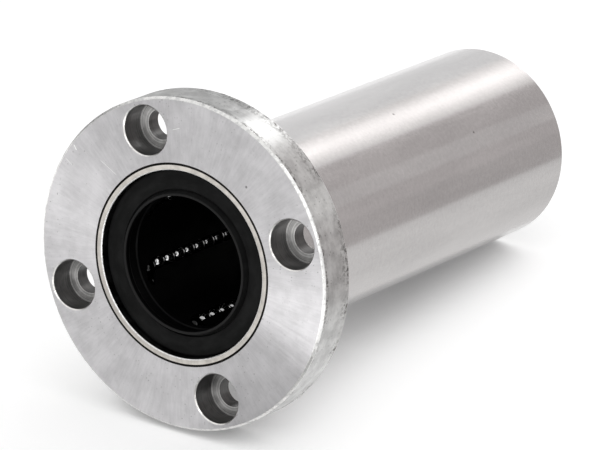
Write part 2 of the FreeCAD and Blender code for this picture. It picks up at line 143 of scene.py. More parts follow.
class BearingFinish(bpy.types.PropertyGroup):
    """Colours and gloss of the pieces."""
    face_steel: colour("Face steel", 0.64, 0.63, 0.64, "Turned faces of the flange")
    rim_steel: colour("Rim steel", 0.62, 0.62, 0.615, "Rim of the flange")
    edge_steel: colour("Edge steel", 0.82, 0.815, 0.80, "Chamfers and worn edges")
    mouth_steel: colour("Mouth steel", 0.84, 0.825, 0.80, "Chamfers of the bolt holes")
    # Painted shade: the walls of the holes get a nearly black steel that stands in for the shade inside
    # them
    shaded_wall_steel: colour("Wall steel", 0.115, 0.113, 0.112, "Walls of the counterbores and bolt holes")
    step_steel: colour("Step steel", 0.70, 0.69, 0.68, "Steps of the counterbores")
    ground_steel: colour("Ground steel", 0.605, 0.592, 0.590, "Outside of the sleeve")
    ring_steel: colour("Ring steel", 0.60, 0.57, 0.53, "Ends of the sleeve")
    # Painted shade: the inside of the sleeve gets a nearly black steel for the shade in the bore
    shaded_inside_steel: colour("Inside steel", 0.05, 0.05, 0.05, "Inside of the sleeve, painted dark as shade, under a film of oil")
    ball_steel: colour("Ball steel", 0.42, 0.42, 0.42, "Polished balls of the rows")
    # Painted shade: the balls in the turns are nearly black, standing in for the shade that hides them in
    # the retainers
    shaded_turn_steel: colour("Turn steel", 0.02, 0.02, 0.02, "Balls in the turns, painted dark as shade")
    pit: colour("Pits", 0.10, 0.095, 0.09, "Small dark pits and specks")
    oil: colour("Oil", 0.006, 0.005, 0.004, "Old oil in joints")
    scratch: colour("Scratches", 0.95, 0.95, 0.94, "Bare metal in scratches")
    rubber: colour("Rubber", 0.0195, 0.0197, 0.0197, "Seals")
    # Painted light on the seals: a lighter crest for the highlight on each lip, and nearly black rubber
    # behind it for the shade there
    crest_highlight: colour("Crest highlight rubber", 0.034, 0.034, 0.034, "Crests of the seals' lips")
    shaded_lip_rubber: colour("Shaded lip rubber", 0.002, 0.002, 0.0022, "Lips of the seals behind their crests")
    dust: colour("Dust", 0.25, 0.24, 0.22, "Dust on the seals")
    plastic: colour("Plastic", 0.002, 0.002, 0.0022, "Retainers")
    face_roughness: share("Face roughness", 0.45, "Roughness of the turned faces")
    face_brush: share("Face brush", 0.85, "How much the turning marks stretch a reflection")
    step_brush: share("Step brush", 0.8, "How much the cutter's rings stretch a reflection")
    rim_roughness: share("Rim roughness", 0.36, "Roughness of the rim")
    rim_brush: share("Rim brush", 0.7, "How much the rim's turning marks stretch a reflection")
    sleeve_roughness: share("Sleeve roughness", 0.175, "Roughness of the ground sleeve")
    sleeve_brush: share("Sleeve brush", 0.5, "How much the grinding marks stretch a reflection")


class BearingStage(bpy.types.PropertyGroup):
    """Floor, light and camera."""
    floor_size: length("Floor size", 8000.0, "Side of the floor")
    floor_colour: colour("Floor", 0.80, 0.80, 0.80, "Pale floor")
    floor_lift: share("Floor lift", 0.41, "Light that the open floor adds to reach white")
    tail_lift: share("Tail lift", 0.14, "What is left of that light under the tail")
    front_lift: share("Front lift", 0.22, "What is left of that light right in front of the flange")
    contact: length("Contact", 45.0, "How near the bearing has to be to take that light away")
    side_light: share("Side light", 0.12, "Light from the horizon")
    top_light: brightness("Top light", 1.4, "More light from straight above")
    light_lean: share("Light lean", 0.5, "How much more light comes from the right than from the left")
    softbox: brightness("Softbox", 1.7, "Brightness of the softbox along its middle")
    softbox_lamp: share("Softbox lamp", 0.4, "Share of that brightness that lights matt surfaces")
    softbox_colour: colour("Softbox colour", 1.0, 0.975, 0.965, "Light of the softbox")
    side_card: colour("Side card", 0.585, 0.555, 0.55, "Card beside the sleeve")
    side_glow: colour("Side glow", 0.90, 0.88, 0.87, "Lighter strip beside the flange")
    side_streak: colour("Side streak", 0.66, 0.635, 0.63, "Lighter strip along the side card")
    side_foot: colour("Side foot", 0.525, 0.50, 0.495, "Darker foot of the side card")
    floor_shade: colour("Floor shade", 0.80, 0.79, 0.785, "Floor as the sleeve's lower side shows it")
    dark_wall: colour("Dark wall", 0.14, 0.14, 0.14, "Walls on the left and right in front")
    grey_wall: colour("Grey wall", 0.80, 0.80, 0.80, "Wall behind the camera")
    top_card: colour("Top card", 0.915, 0.915, 0.92, "Card high up behind the sleeve")
    back_card: colour("Back card", 0.50, 0.50, 0.50, "Card behind the flange")
    foot_card: colour("Foot card", 0.30, 0.30, 0.30, "Floor right in front of the flange")
    back_glow: brightness("Back glow", 2.7, "Brightness of the light behind the flange")
    left_card: brightness("Left card", 1.7, "Brightness of the low card on the left")
    right_card: brightness("Right card", 3.1, "Brightness of the floor card in front")
    strip: brightness("Strip", 2.4, "Brightness of the upright strip on the right in front")
    lens: FloatProperty(
        name="Lens", description="Focal length in millimetres", default=292.526, min=1.0, unit="CAMERA")
    camera_place: point("Camera", (0.548986, -0.833083, 0.342746), "Where the camera stands")
    camera_aim: point("Aim", (0.019256, 0.006102, 0.009976), "Point in the middle of the picture")


# Node trees. Grain seldom leaves the range from GRAIN_LOW to GRAIN_HIGH, so tones are spread over it.
GRAIN_LOW = 0.3
GRAIN_HIGH = 0.7
QUARTER_TURN = 0.25

# The sockets of a Mix node share their names, so they go by number: first input, second input, result
MIX_SOCKETS = {"VECTOR": (4, 5, 1), "RGBA": (6, 7, 2)}


class NodeTree:
    """Short ways to make the nodes of one tree. Lengths are in metres."""

    def __init__(self, tree):
        self.tree = tree

    def node(self, kind, inputs=None, **settings):
        """A shader node with its settings. An input is a socket to link, a value or a colour."""
        made = self.tree.nodes.new("ShaderNode" + kind)
        for name, value in settings.items():
            setattr(made, name, value)
        for key, value in (inputs or {}).items():
            socket = made.inputs[key]
            if isinstance(value, bpy.types.NodeSocket):
                self.tree.links.new(value, socket)
            else:
                socket.default_value = (*value, 1.0) if socket.type == "RGBA" else value
        return made

    def maths(self, operation, *values):
        """The result of one sum on values or sockets."""
        return self.node("Math", dict(enumerate(values)), operation=operation).outputs[0]

    def times(self, first, second):
        """One value or socket times another."""
        return self.maths("MULTIPLY", first, second)

    def most(self, *values):
        """The largest of some sockets."""
        largest = values[0]
        for value in values[1:]:
            largest = self.maths("MAXIMUM", largest, value)
        return largest

    def vector(self, operation, *values, gives="Vector"):
        """The vector that one vector sum gives."""
        made = self.node("VectorMath", dict(enumerate(values)), operation=operation)
        return made.outputs[gives]

    def measure(self, operation, *values):
        """The number that one vector sum gives."""
        return self.vector(operation, *values, gives="Value")

    def join(self, x=0.0, y=0.0, z=0.0):
        """A vector from three values or sockets."""
        return self.node("CombineXYZ", {"X": x, "Y": y, "Z": z}).outputs[0]

    def split(self, vector):
        """The three parts of a vector."""
        return self.node("SeparateXYZ", {0: vector}).outputs

    def ramp(self, value, low, high, start=0.0, stop=1.0):
        """A smooth step from start to stop as value goes from low to high."""
        inputs = {"Value": value, "From Min": low, "From Max": high, "To Min": start, "To Max": stop}
        return self.node("MapRange", inputs, interpolation_type="SMOOTHSTEP").outputs[0]

    def vary(self, grain, start, stop):
        """A value that goes from start to stop with grain."""
        return self.ramp(grain, GRAIN_LOW, GRAIN_HIGH, start, stop)

    def mix(self, factor, first, second, kind="RGBA", **settings):
        """A colour between two colours, or a vector between two vectors."""
        first_socket, second_socket, result = MIX_SOCKETS[kind]
        inputs = {"Factor": factor, first_socket: first, second_socket: second}
        return self.node("Mix", inputs, data_type=kind, **settings).outputs[result]

    def shade(self, tint, amount):
        """A colour made lighter or darker by a socket near 1."""
        return self.mix(1.0, tint, amount, blend_type="MULTIPLY")

    def bump(self, height, depth, normal=None):
        """A normal for a height from 0 to 1 that stands for depth."""
        inputs = {"Height": height, "Distance": depth, "Strength": 1.0}
        if normal is not None:
            inputs["Normal"] = normal
        return self.node("Bump", inputs).outputs[0]

    def seen_rays(self):
        """1 for the rays that show the background: from the camera, a reflection or glass."""
        rays = self.node("LightPath").outputs
        return self.most(rays["Is Camera Ray"], rays["Is Glossy Ray"], rays["Is Transmission Ray"])


class Finish(NodeTree):
    """One material and the node tree that makes it. Its place is a point in the piece's own frame."""

    def __init__(self, name):
        self.material = bpy.data.materials.new(name)
        self.material.use_nodes = True
        super().__init__(self.material.node_tree)
        self.tree.nodes.clear()
        self.output = self.node("OutputMaterial")
        self.place = self.node("TexCoord").outputs["Object"]

    def grain(self, scale, detail=3.0, rough=0.55, place=None):
        """Noise from 0 to 1, with scale features to the metre."""
        inputs = {"Vector": place or self.place, "Scale": scale, "Detail": detail, "Roughness": rough}
        return self.node("TexNoise", inputs).outputs[0]

    def specks(self, cells, size, often):
        """1 inside small round spots: cells to the metre, and often is the share of cells with a spot."""
        spots = self.node("TexVoronoi", {"Vector": self.place, "Scale": cells, "Randomness": 1.0})
        chance = self.node("SeparateColor", {0: spots.outputs["Color"]}).outputs[0]
        inside = self.ramp(spots.outputs["Distance"], size, size / 2)
        return self.times(inside, self.maths("LESS_THAN", chance, often))

    def show(self, shader):
        """The material, with this shader on its surface."""
        self.tree.links.new(shader.outputs[0], self.output.inputs[0])
        return self.material

    def surface(self, **sockets):
        """The finished material: keys are its shader's input names with spaces as underscores."""
        inputs = {key.replace("_", " "): value for key, value in sockets.items()}
        return self.show(self.node("BsdfPrincipled", inputs))

    def metal(self, steel, rough, normal, **sockets):
        """Bare metal."""
        return self.surface(Base_Color=steel, Metallic=1.0, Roughness=rough, Normal=normal, **sockets)


class BoreFinish(Finish):
    """A finish that follows the bore: along it, by reach from its axis, and around it on a unit circle."""

    def __init__(self, name):
        super().__init__(name)
        x, self.along, z = self.split(self.place)
        across = self.join(x, 0.0, z)
        self.reach = self.measure("LENGTH", across)
        self.around = self.vector("NORMALIZE", across)

    def line_grain(self, along, steps, **fineness):
        """Noise in lines: it only changes along a socket, with steps features to the metre."""
        return self.grain(1.0, place=self.join(y=self.times(along, steps)), **fineness)

    def drawn_grain(self, turns, along, steps, **fineness):
        """Noise that is drawn out: turns features round the bore, steps to the metre along a socket."""
        circle = self.vector("MULTIPLY", self.around, (turns, turns, turns))
        place = self.vector("ADD", circle, self.join(y=self.times(along, steps)))
        return self.grain(1.0, place=place, **fineness)

    def turned_metal(self, steel, rough, normal, brush):
        """Bare metal with turning marks round the bore that stretch a reflection across them."""
        marks_way = self.node("Tangent", direction_type="RADIAL", axis="Y").outputs[0]
        return self.metal(
            steel, rough, normal, Anisotropic=brush, Anisotropic_Rotation=QUARTER_TURN, Tangent=marks_way)


# Marks on the flange's front face in millimetres: start and end, across and up from the axis, and width
FACE_MARKS = {
    "nick": ((-29.94, 20.31), (-28.98, 19.09), 0.34),
    "scratch by the upper hole": ((-4.56, 29.44), (-2.50, 30.33), 0.16),
    "outer streak": ((-31.89, 16.71), (-29.83, 15.49), 0.14),
    "inner streak": ((-22.86, 18.50), (-17.93, 15.96), 0.12),
}


def face_mark(finish, start, stop, width):
    """1 inside a short straight mark on the front face, given in millimetres."""
    start, stop = (Vector((across, 0.0, up)) * MM for across, up in (start, stop))
    run = stop - start
    side = Vector((-run.z, 0.0, run.x)).normalized()
    half = run.length / 2
    full = half * 0.7
    away = finish.vector("SUBTRACT", finish.place, (start + stop) / 2)
    along = finish.maths("ABSOLUTE", finish.measure("DOT_PRODUCT", away, run.normalized()))
    across = finish.maths("ABSOLUTE", finish.measure("DOT_PRODUCT", away, side))
    in_width = finish.ramp(across, width / 2 * MM, width / 4 * MM)
    return finish.times(finish.ramp(along, half, full), in_width)


def face_finish(look):
    """Turned faces: fine rings, short streaks that fan out from the bore, specks and a few scratches."""
    finish = BoreFinish("flange_face_turned")
    streaks = finish.drawn_grain(62.0, finish.reach, 240.0, detail=4.0, rough=0.6)
    fans = finish.drawn_grain(3.2, finish.reach, 20.0, detail=2.0)
    clouds = finish.grain(190.0, detail=6.0, rough=0.62)
    rings = finish.line_grain(finish.reach, 5200.0, detail=2.0)
    patches = finish.ramp(finish.grain(60.0, detail=2.0), 0.42, 0.62)
    fine_pits = finish.specks(cells=1700.0, size=0.34, often=0.16)
    fine_pits = finish.times(fine_pits, finish.ramp(patches, 0.0, 1.0, 0.1, 0.4))
    large_pits = finish.specks(cells=330.0, size=0.12, often=0.10)
    pits = finish.most(fine_pits, finish.times(large_pits, 0.7))
    marks = finish.most(*[face_mark(finish, *mark) for mark in FACE_MARKS.values()])
    tone = finish.maths("ADD", finish.vary(streaks, 0.955, 1.03), finish.vary(clouds, -0.09, 0.08))
    steel = finish.shade(look.face_steel, tone)
    steel = finish.mix(pits, steel, look.pit)
    steel = finish.mix(marks, steel, look.scratch)
    rough = finish.maths(
        "ADD", finish.vary(fans, look.face_roughness - 0.04, look.face_roughness + 0.04),
        finish.vary(streaks, 0.025, -0.025))
    height = finish.maths("ADD", finish.times(rings, 0.5), finish.times(streaks, 0.5))
    normal = finish.bump(height, depth=8e-7)
    normal = finish.bump(finish.maths("SUBTRACT", marks, pits), depth=3e-5, normal=normal)
    return finish.turned_metal(steel, rough, normal, look.face_brush)


def rim_finish(look):
    """Turned rim: lines round it, a mottled skin, and dark chips that gather along its two edges."""
    finish = BoreFinish("flange_rim_turned")
    back_reach, back_full = 4.2 * MM, 0.9 * MM
    front_reach, front_full = 2.0 * MM, 0.6 * MM
    lines = finish.drawn_grain(7.0, finish.along, 3000.0, rough=0.6)
    clouds = finish.grain(330.0, detail=5.0, rough=0.65)
    stretches = finish.ramp(finish.drawn_grain(2.6, finish.along, 40.0, detail=2.0), 0.36, 0.54)
    near_back = finish.ramp(finish.along, BACK - back_reach, BACK - back_full)
    near_front = finish.ramp(finish.along, FRONT + front_reach, FRONT + front_full)
    near_edge = finish.times(finish.most(near_back, near_front), stretches)
    chips = finish.ramp(finish.grain(1250.0, detail=5.0, rough=0.7), 0.46, 0.60)
    pits = finish.specks(cells=1500.0, size=0.34, often=0.14)
    dark = finish.most(finish.times(chips, near_edge), finish.times(pits, 0.45))
    tone = finish.maths("ADD", finish.vary(lines, 0.95, 1.03), finish.vary(clouds, -0.20, 0.15))
    steel = finish.mix(dark, finish.shade(look.rim_steel, tone), look.pit)
    rough = finish.vary(clouds, look.rim_roughness - 0.07, look.rim_roughness + 0.07)
    normal = finish.bump(lines, depth=1e-6)
    normal = finish.bump(finish.maths("SUBTRACT", clouds, dark), depth=1.4e-5, normal=normal)
    return finish.turned_metal(steel, rough, normal, look.rim_brush)


def edge_finish(look, name, bright):
    """Chamfers: bright where the edge is worn, with small dark nicks."""
    finish = BoreFinish(name)
    wear = finish.drawn_grain(30.0, finish.along, 900.0)
    nicks = finish.ramp(finish.grain(900.0, detail=4.0, rough=0.65), 0.54, 0.66)
    steel = finish.mix(finish.ramp(wear, GRAIN_LOW, 0.55), look.rim_steel, bright)
    steel = finish.mix(finish.times(nicks, 0.22), steel, look.pit)
    normal = finish.bump(finish.maths("SUBTRACT", wear, nicks), depth=1.5e-5)
    return finish.metal(steel, finish.vary(wear, 0.42, 0.26), normal)


def joint_finish(look):
    """Fine joint between flange and sleeve, dark with old oil."""
    finish = BoreFinish("joint_oiled")
    dirt = finish.drawn_grain(40.0, finish.along, 500.0)
    dark = finish.shade(look.oil, finish.vary(dirt, 0.6, 3.0))
    return finish.surface(Base_Color=dark, Roughness=finish.vary(dirt, 0.35, 0.6), Specular_IOR_Level=0.2)


def hole_places(finish):
    """The way from the axis of the nearest bolt hole to a point, and how far that is."""
    flat = finish.vector("MULTIPLY", finish.place, (1.0, 0.0, 1.0))
    ways = [finish.vector("SUBTRACT", flat, centre) for centre in bolt_centres()]
    nearest = ways[0]
    reach = finish.measure("LENGTH", nearest)
    for way in ways[1:]:
        distance = finish.measure("LENGTH", way)
        closer = finish.maths("LESS_THAN", distance, reach)
        nearest = finish.mix(closer, nearest, way, "VECTOR")
        reach = finish.maths("MINIMUM", reach, distance)
    return nearest, reach


def bored_finish(look):
    """Walls of the counterbores and bolt holes: painted dark as the shade inside the holes, with the tool's
    lines round them.
    """
    finish = BoreFinish("bolt_hole_bored")
    lines = finish.line_grain(finish.along, 2600.0, rough=0.6)
    smears = finish.grain(420.0, detail=4.0)
    tone = finish.maths("ADD", finish.vary(lines, 0.80, 1.15), finish.vary(smears, -0.25, 0.25))
    steel = finish.shade(look.shaded_wall_steel, tone)
    return finish.metal(steel, finish.vary(smears, 0.30, 0.48), finish.bump(lines, depth=4e-6))


def step_finish(look):
    """Steps of the counterbores: rings left by the cutter about each hole's own axis."""
    finish = Finish("counterbore_step_cut")
    way, reach = hole_places(finish)
    rings = finish.grain(1.0, rough=0.6, place=finish.join(finish.times(reach, 3300.0)))
    smears = finish.grain(420.0, detail=4.0)
    tone = finish.maths("ADD", finish.ramp(rings, 0.38, 0.62, 0.50, 1.20), finish.vary(smears, -0.15, 0.15))
    steel = finish.shade(look.step_steel, tone)
    return finish.metal(
        steel, finish.vary(smears, 0.30, 0.36), finish.bump(rings, depth=1e-5),
        Anisotropic=look.step_brush, Tangent=finish.vector("NORMALIZE", way))


def ground_finish(look):
    """Ground sleeve: a fine even satin with marks round it, soft clouds and a few specks."""
    finish = BoreFinish("sleeve_ground")
    marks = finish.drawn_grain(9.0, finish.along, 2600.0, detail=4.0, rough=0.65)
    mottle = finish.grain(1300.0, rough=0.6)
    clouds = finish.drawn_grain(3.4, finish.along, 26.0, detail=4.0)
    pits = finish.specks(cells=120.0, size=0.045, often=0.12)
    broad_tone = finish.maths("ADD", finish.vary(marks, -0.02, 0.02), finish.vary(clouds, -0.055, 0.055))
    tone = finish.maths("ADD", finish.vary(mottle, 0.965, 1.025), broad_tone)
    steel = finish.shade(look.ground_steel, tone)
    steel = finish.mix(finish.times(pits, 0.7), steel, look.pit)
    rough = finish.maths(
        "ADD", finish.vary(clouds, look.sleeve_roughness - 0.015, look.sleeve_roughness + 0.015),
        finish.vary(mottle, -0.025, 0.025))
    normal = finish.bump(marks, depth=4e-7)
    normal = finish.bump(mottle, depth=5e-7, normal=normal)
    return finish.turned_metal(steel, rough, normal, look.sleeve_brush)


def ring_finish(look):
    """Faced ends of the sleeve."""
    finish = BoreFinish("sleeve_end_faced")
    rings = finish.line_grain(finish.reach, 6000.0, detail=2.0)
    stains = finish.drawn_grain(12.0, finish.reach, 300.0, detail=4.0)
    steel = finish.shade(look.ring_steel, finish.vary(stains, 0.86, 1.10))
    return finish.metal(steel, finish.vary(stains, 0.38, 0.28), finish.bump(rings, depth=1.5e-6))


def inside_finish(look):
    """Inside of the sleeve, painted nearly black as shade, under a film of oil: seats of the seals, relief
    and raceway lands.
    """
    finish = BoreFinish("sleeve_inside_shaded")
    film = finish.drawn_grain(10.0, finish.along, 300.0, detail=4.0)
    steel = finish.shade(look.shaded_inside_steel, finish.vary(film, 0.5, 1.4))
    return finish.metal(steel, finish.vary(film, 0.25, 0.45), finish.bump(film, depth=2e-6))


def rubber_finish(look):
    """Moulded rubber: matt, with a faint bloom and dust, a painted highlight on the lip's crest and painted
    shade behind it.
    """
    finish = BoreFinish("seal_rubber_moulded")
    lip_reach, lip_full = 0.72 * MM, 0.62 * MM
    crest_depth, crest_end, shade_depth = 0.8 * MM, 1.0 * MM, 1.1 * MM
    grain = finish.grain(5200.0)
    bloom = finish.drawn_grain(4.0, finish.reach, 400.0)
    dust = finish.specks(cells=1400.0, size=0.10, often=0.05)
    front_depth = finish.maths("SUBTRACT", finish.along, FRONT)
    depth = finish.maths("MINIMUM", front_depth, finish.maths("SUBTRACT", TAIL, finish.along))
    in_lip = finish.ramp(finish.reach, SHAFT + lip_reach, SHAFT + lip_full)
    # Painted highlight: the crest of the lip is lighter rubber
    crest_highlight = finish.times(in_lip, finish.ramp(depth, crest_end, crest_depth))
    # Painted shade: the lip behind the crest is nearly black, and a little glossier
    shaded_lip = finish.times(in_lip, finish.ramp(depth, crest_depth, shade_depth))
    rubber = finish.shade(look.rubber, finish.ramp(bloom, GRAIN_LOW, 0.75, 0.8, 1.35))
    rubber = finish.mix(finish.times(dust, 0.2), rubber, look.dust)
    rubber = finish.mix(crest_highlight, rubber, look.crest_highlight)
    rubber = finish.mix(shaded_lip, rubber, look.shaded_lip_rubber)
    rough = finish.maths("ADD", finish.vary(bloom, 0.62, 0.50), finish.times(shaded_lip, -0.1))
    normal = finish.bump(grain, depth=5e-6)
    return finish.surface(Base_Color=rubber, Roughness=rough, Normal=normal, Specular_IOR_Level=0.04)


def plastic_finish(look):
    """Moulded retainer: black plastic with a film of oil."""
    finish = BoreFinish("retainer_plastic_oiled")
    film = finish.grain(350.0)
    flow = finish.drawn_grain(20.0, finish.along, 60.0)
    plastic = finish.shade(look.plastic, finish.vary(flow, 0.7, 1.3))
    rough = finish.vary(film, 0.28, 0.48)
    normal = finish.bump(flow, depth=3e-6)
    return finish.surface(Base_Color=plastic, Roughness=rough, Normal=normal, Specular_IOR_Level=0.06)


def ball_finish(name, steel_colour):
    """Polished balls under a thin uneven film of oil."""
    finish = Finish(name)
    film = finish.grain(1300.0)
    steel = finish.shade(steel_colour, finish.vary(film, 0.92, 1.03))
    rough = finish.ramp(film, 0.35, GRAIN_HIGH, 0.05, 0.13)
    return finish.metal(steel, rough, finish.bump(film, depth=4e-7))


# Turned meshes
def spoke(reach, turn, along=0.0):
    """The point at a reach from the bore's axis, at an angle round it and at a place along it."""
    return Vector((reach * math.cos(turn), along, reach * math.sin(turn)))


def bolt_centres():
    """Centres of the bolt holes, in the plane of the mounting face."""
    return [spoke(BOLT_CIRCLE, FIRST_BOLT + math.tau * index / BOLT_COUNT) for index in range(BOLT_COUNT)]


def soften(corners, rounding, steps=3):
    """Round the corners of a closed outline of (radius, along, band): the band follows the corner."""
    longest_cut = 0.4
    outline = []
    for index, (radius, along, band) in enumerate(corners):
        if radius == 0.0:
            outline.append((radius, along, band))
            continue
        meeting = (corners[index - 1][2], band)
        rounded_band = next((kind for kind in ("joint", "edge") if kind in meeting), band)
        here = Vector((radius, along))
        before = Vector(corners[index - 1][:2]) - here
        after = Vector(corners[(index + 1) % len(corners)][:2]) - here
        start = here + before.normalized() * min(rounding, before.length * longest_cut)
        stop = here + after.normalized() * min(rounding, after.length * longest_cut)
        for step in range(steps + 1):
            done = step / steps
            left = 1 - done
            corner = start * left ** 2 + here * 2 * done * left + stop * done ** 2
            outline.append((corner.x, corner.y, band if step == steps else rounded_band))
    return outline


def turn_outline(bm, outline, segments, bands, centre=Vector()):
    """Turn a closed outline about an axis along the bore. bands has the order of the materials."""
    turns = [math.tau * index / segments for index in range(segments)]
    rings = []
    for radius, along, _ in outline:
        rings.append([bm.verts.new(centre + spoke(radius, turn, along)) for turn in turns])
    for index, ring in enumerate(rings):
        following = rings[(index + 1) % len(rings)]
        band = bands.index(outline[index][2])
        for step in range(segments):
            beyond = (step + 1) % segments
            face = bm.faces.new((ring[step], ring[beyond], following[beyond], following[step]))
            face.material_index = band
            face.smooth = True


def close_mesh(bm):
    """Join the points on the axis and turn every face outwards."""
    bmesh.ops.remove_doubles(bm, verts=bm.verts, dist=1e-7)
    bmesh.ops.recalc_face_normals(bm, faces=bm.faces)


def new_object(name, data):
    """An object in the scene."""
    made = bpy.data.objects.new(name, data)
    bpy.context.scene.collection.objects.link(made)
    return made


def new_piece(name, bm, materials):
    """An object in the scene from a mesh in the making."""
    mesh = bpy.data.meshes.new(name)
    bm.to_mesh(mesh)
    bm.free()
    for material in materials:
        mesh.materials.append(material)
    return new_object(name, mesh)


def even_shading(piece, angle=40.0):
    """Keep flat faces flat beside small rounded edges."""
    piece.data.set_sharp_from_angle(angle=math.radians(angle))
    shading = piece.modifiers.new("Even shading", "WEIGHTED_NORMAL")
    shading.keep_sharp = True


def stand_for(piece, node):
    """The piece takes the place of a CAD node of the housing."""
    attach(piece, "housing")
    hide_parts(node)


def dent_edges(bm, shape):
    """Small dents along the flange's two outer edges."""
    near = 1.2 * MM
    long_dents, short_dents = 34.0, 95.0
    short_share, short_shift = 0.6, 7.0
    least_knock = 0.15
    for vertex in bm.verts:
        reach = math.hypot(vertex.co.x, vertex.co.z)
        edge_way = FRONT if vertex.co.y < (FRONT + BACK) / 2 else BACK
        closeness = 1.0 - abs(vertex.co.y - edge_way) / near
        if reach < RIM - near or closeness <= 0.0:
            continue
        outwards = Vector((vertex.co.x, 0.0, vertex.co.z)) / reach
        shift = AHEAD * (edge_way / MM)
        knock = noise.noise(outwards * long_dents + shift)
        knock += short_share * noise.noise(outwards * short_dents + shift + UP * short_shift)
        depth = shape.dent * max(0.0, knock - least_knock) * closeness
        inwards = Vector((0.0, 1.0 if edge_way == FRONT else -1.0, 0.0)) - outwards
        vertex.co += inwards.normalized() * depth


def cut_holes(piece, cutter):
    """Take the cutter out of the piece, keeping the cutter's materials inside the holes."""
    cut = piece.modifiers.new("Holes", "BOOLEAN")
    cut.operation = "DIFFERENCE"
    cut.solver = "EXACT"
    cut.material_mode = "TRANSFER"
    cut.object = cutter
    bpy.context.view_layer.update()
    drilled = bpy.data.meshes.new_from_object(piece.evaluated_get(bpy.context.evaluated_depsgraph_get()))
    piece.modifiers.clear()
    piece.data = drilled
    bpy.data.objects.remove(cutter)


def make_flange(shape, look):
    """Flange: a turned ring with chamfered, dented edges and counterbored bolt holes."""
    bands = ["face", "rim", "edge", "joint"]
    corners = [
        (shape.spigot + shape.joint_edge, FRONT, "face"),
        (RIM - shape.front_edge, FRONT, "edge"),
        (RIM, FRONT + shape.front_edge, "rim"),
        (RIM, BACK - shape.back_edge, "edge"),
        (RIM - shape.back_edge, BACK, "face"),
        (shape.spigot + shape.joint_lead, BACK, "edge"),
        (shape.spigot, BACK - shape.joint_lead, "joint"),
        (shape.spigot, FRONT + shape.joint_edge, "joint"),
    ]
    bm = bmesh.new()
    turn_outline(bm, soften(corners, shape.rounding), shape.segments, bands)
    close_mesh(bm)
    dent_edges(bm, shape)
    worn = edge_finish(look, "flange_edge_worn", look.edge_steel)
    flange = new_piece("flange_ring", bm, [face_finish(look), rim_finish(look), worn, joint_finish(look)])
    cut_holes(flange, make_hole_cutter(shape, look))
    even_shading(flange)
    return flange


def make_hole_cutter(shape, look):
    """The room of the four bolt holes, with their counterbores and chamfers."""
    past = 1.0 * MM
    floor = FRONT + shape.counterbore_depth
    mouth = shape.counterbore_edge
    end = shape.bolt_hole_edge
    corners = [
        (0.0, FRONT - past, "wall"),
        (shape.counterbore + mouth + past, FRONT - past, "mouth"),
        (shape.counterbore, FRONT + mouth, "wall"),
        (shape.counterbore, floor, "step"),
        (BOLT_HOLE, floor, "wall"),
        (BOLT_HOLE, BACK - end, "mouth"),
        (BOLT_HOLE + end + past, BACK + past, "wall"),
        (0.0, BACK + past, "wall"),
    ]
    outline = soften(corners, shape.rounding)
    bm = bmesh.new()
    for centre in bolt_centres():
        turn_outline(bm, outline, shape.hole_segments, ["wall", "step", "mouth"], centre)
    close_mesh(bm)
    mouth_steel = edge_finish(look, "hole_mouth_worn", look.mouth_steel)
    return new_piece("hole_cutter", bm, [bored_finish(look), step_finish(look), mouth_steel])


def add_land(bm, row, shape, band):
    """A raceway land inside the sleeve, over one row of loaded balls."""
    low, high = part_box(row)
    middle = (low + high) / 2
    turn = math.atan2(middle.z, middle.x)
    race = SHAFT + shape.ball + shape.race_clearance
    root = (shape.relief + shape.seat) / 2
    lean = shape.land_width / 2 / race
    steps = 6
    sections = []
    for along in (low.y, high.y):
        section = []
        for radius, way in ((race, 1), (root, -1)):
            for step in range(steps + 1):
                angle = turn + way * lean * (2 * step / steps - 1)
                section.append(bm.verts.new(spoke(radius, angle, along)))
        sections.append(section)
    start, stop = sections
    faces = [bm.faces.new(section) for section in sections]
    for index in range(len(start)):
        beyond = (index + 1) % len(start)
        faces.append(bm.faces.new((start[index], start[beyond], stop[beyond], stop[index])))
    for face in faces:
        face.material_index = band


def make_sleeve(shape, look):
    """Sleeve: a ground tube with a seat for a seal at each end and raceway lands inside."""
    bands = ["ground", "ring", "edge", "joint", "inside"]
    corners = [
        (shape.seat + shape.seat_edge, FRONT, "ring"),
        (shape.spigot - shape.spigot_edge, FRONT, "joint"),
        (shape.spigot, FRONT + shape.spigot_edge, "joint"),
        (shape.spigot, BACK - shape.undercut_width, "joint"),
        (shape.undercut, BACK - shape.undercut_width, "joint"),
        (shape.undercut, BACK, "joint"),
        (SLEEVE, BACK, "ground"),
        (SLEEVE, TAIL - shape.tail_edge, "edge"),
        (SLEEVE - shape.tail_edge, TAIL, "ring"),
        (shape.seat + shape.seat_edge, TAIL, "edge"),
        (shape.seat, TAIL - shape.seat_edge, "inside"),
        (shape.seat, TAIL - shape.seat_depth, "inside"),
        (shape.relief, TAIL - shape.seat_depth, "inside"),
        (shape.relief, FRONT + shape.seat_depth, "inside"),
        (shape.seat, FRONT + shape.seat_depth, "inside"),
        (shape.seat, FRONT + shape.seat_edge, "edge"),
    ]
    bm = bmesh.new()
    turn_outline(bm, soften(corners, shape.rounding), shape.segments // 2, bands)
    for row in LOADED_ROWS:
        add_land(bm, row, shape, bands.index("inside"))
    close_mesh(bm)
    sleeve = new_piece("sleeve_tube", bm, [
        ground_finish(look), ring_finish(look), edge_finish(look, "sleeve_edge_worn", look.edge_steel),
        joint_finish(look), inside_finish(look)])
    even_shading(sleeve)
    return sleeve


def paint_nodes(names, material):
    """Give CAD nodes that keep their own shape a finish."""
    for name in names:
        for slot in frame["nodes"][name].material_slots:
            slot.link = "OBJECT"
            slot.material = material


# Stage
def floor_frame(shape):
    """A point of the floor and its normal. The bearing lies on its flange's back edge and its tail."""
    rim_foot = Vector((0.0, BACK - shape.back_edge, -RIM))
    tail_foot = Vector((0.0, TAIL - shape.tail_edge, -SLEEVE))
    normal = Vector((1.0, 0.0, 0.0)).cross(tail_foot - rim_foot).normalized()
    return rim_foot, normal


